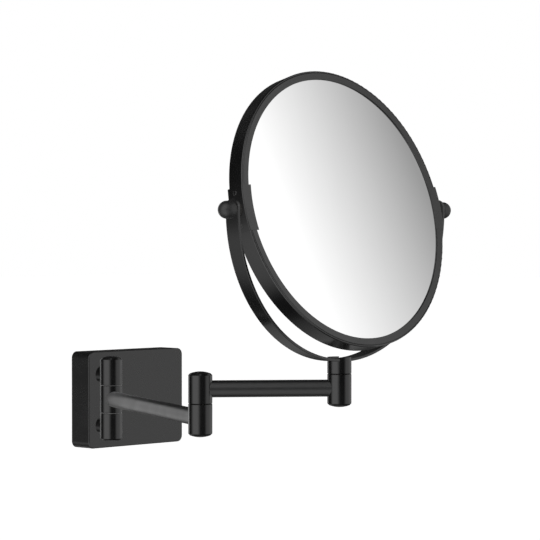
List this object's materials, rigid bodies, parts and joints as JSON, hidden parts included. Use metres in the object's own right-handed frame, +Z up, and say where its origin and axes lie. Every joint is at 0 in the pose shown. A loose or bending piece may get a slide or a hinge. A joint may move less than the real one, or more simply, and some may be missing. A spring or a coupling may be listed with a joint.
{
  "type": "extendable shaving mirror",
  "caption": "Wall-mounted round shaving mirror on a two-part swinging arm, tilting in a half-ring yoke, matt black.",
  "frame": {"origin": "centre of the wall box's back plane, where it meets the wall", "axes": "+X to the right along the wall, +Z up, +Y into the wall, so the room is towards -Y"},
  "size_m": [0.2342, 0.312, 0.2827],
  "materials": {
    "cover_black": "matt black powder coat",
    "knuckle_black": "matt black powder coat on turned brass",
    "tube_black": "satin black powder coat on steel tube",
    "band_black": "matt black powder coat on steel strip",
    "rim_black": "matt black powder coat on steel rim",
    "knob_black": "satin black powder coat on turned metal",
    "plate_steel": "zinc plated pressed steel",
    "screw_steel": "zinc plated",
    "bush_plastic": "natural nylon",
    "cap_plastic": "moulded black",
    "fibre": "black fibre washer",
    "core_plastic": "moulded black",
    "silvered_glass": "polished silvered glass"
  },
  "bodies": {
    "wall_bracket": {"wall_plate": "plate_steel", "box_cover": "cover_black", "cover_grub_screw": "screw_steel", "post_upper_knuckle": "knuckle_black", "post_lower_knuckle": "knuckle_black", "post_pin": "screw_steel", "knuckle_screws": "screw_steel", "knuckle_screw_washers": "screw_steel"},
    "inner_arm": {"arm_hub": "knuckle_black", "hub_upper_bush": "bush_plastic", "hub_lower_bush": "bush_plastic", "inner_tube": "tube_black", "elbow_lower_knuckle": "knuckle_black", "elbow_upper_bush": "bush_plastic", "elbow_lower_bush": "bush_plastic", "elbow_cap": "cap_plastic"},
    "outer_arm": {"elbow_upper_knuckle": "knuckle_black", "elbow_bolt": "screw_steel", "elbow_spring_washer": "screw_steel", "outer_tube": "tube_black", "end_knuckle": "knuckle_black", "end_upper_bush": "bush_plastic", "end_lower_bush": "bush_plastic", "end_cap": "cap_plastic"},
    "yoke": {"yoke_stem": "knuckle_black", "yoke_band": "band_black", "swivel_bolt": "knob_black", "swivel_nut": "screw_steel", "swivel_spring_washer": "screw_steel", "left_knob_washer": "fibre", "right_knob_washer": "fibre"},
    "mirror": {"rim_band": "rim_black", "front_bezel": "rim_black", "rear_bezel": "rim_black", "front_glass": "silvered_glass", "magnifying_glass": "silvered_glass", "core_ring": "core_plastic", "clip_rivets": "rim_black", "left_clip": "rim_black", "right_clip": "rim_black", "left_nut_plate": "screw_steel", "right_nut_plate": "screw_steel", "left_spacer": "fibre", "right_spacer": "fibre", "left_knob": "knob_black", "right_knob": "knob_black"}
  },
  "joints": [
    {"name": "wall_swing", "type": "hinge", "parent": "wall_bracket", "child": "inner_arm", "pos_m": [-0.036, -0.0304, 0.0013], "axis": [0, 0, 1], "range_deg": [-63, 112]},
    {"name": "elbow_swing", "type": "hinge", "parent": "inner_arm", "child": "outer_arm", "pos_m": [-0.12003, -0.21738, 0.0115], "axis": [0, 0, 1], "continuous": true},
    {"name": "mirror_swivel", "type": "hinge", "parent": "outer_arm", "child": "yoke", "pos_m": [-0.04489, -0.28044, 0.032], "axis": [0, 0, 1], "continuous": true},
    {"name": "mirror_tilt", "type": "hinge", "parent": "yoke", "child": "mirror", "pos_m": [-0.04489, -0.28044, 0.147], "axis": [1, 0, 0], "continuous": true}
  ]
}
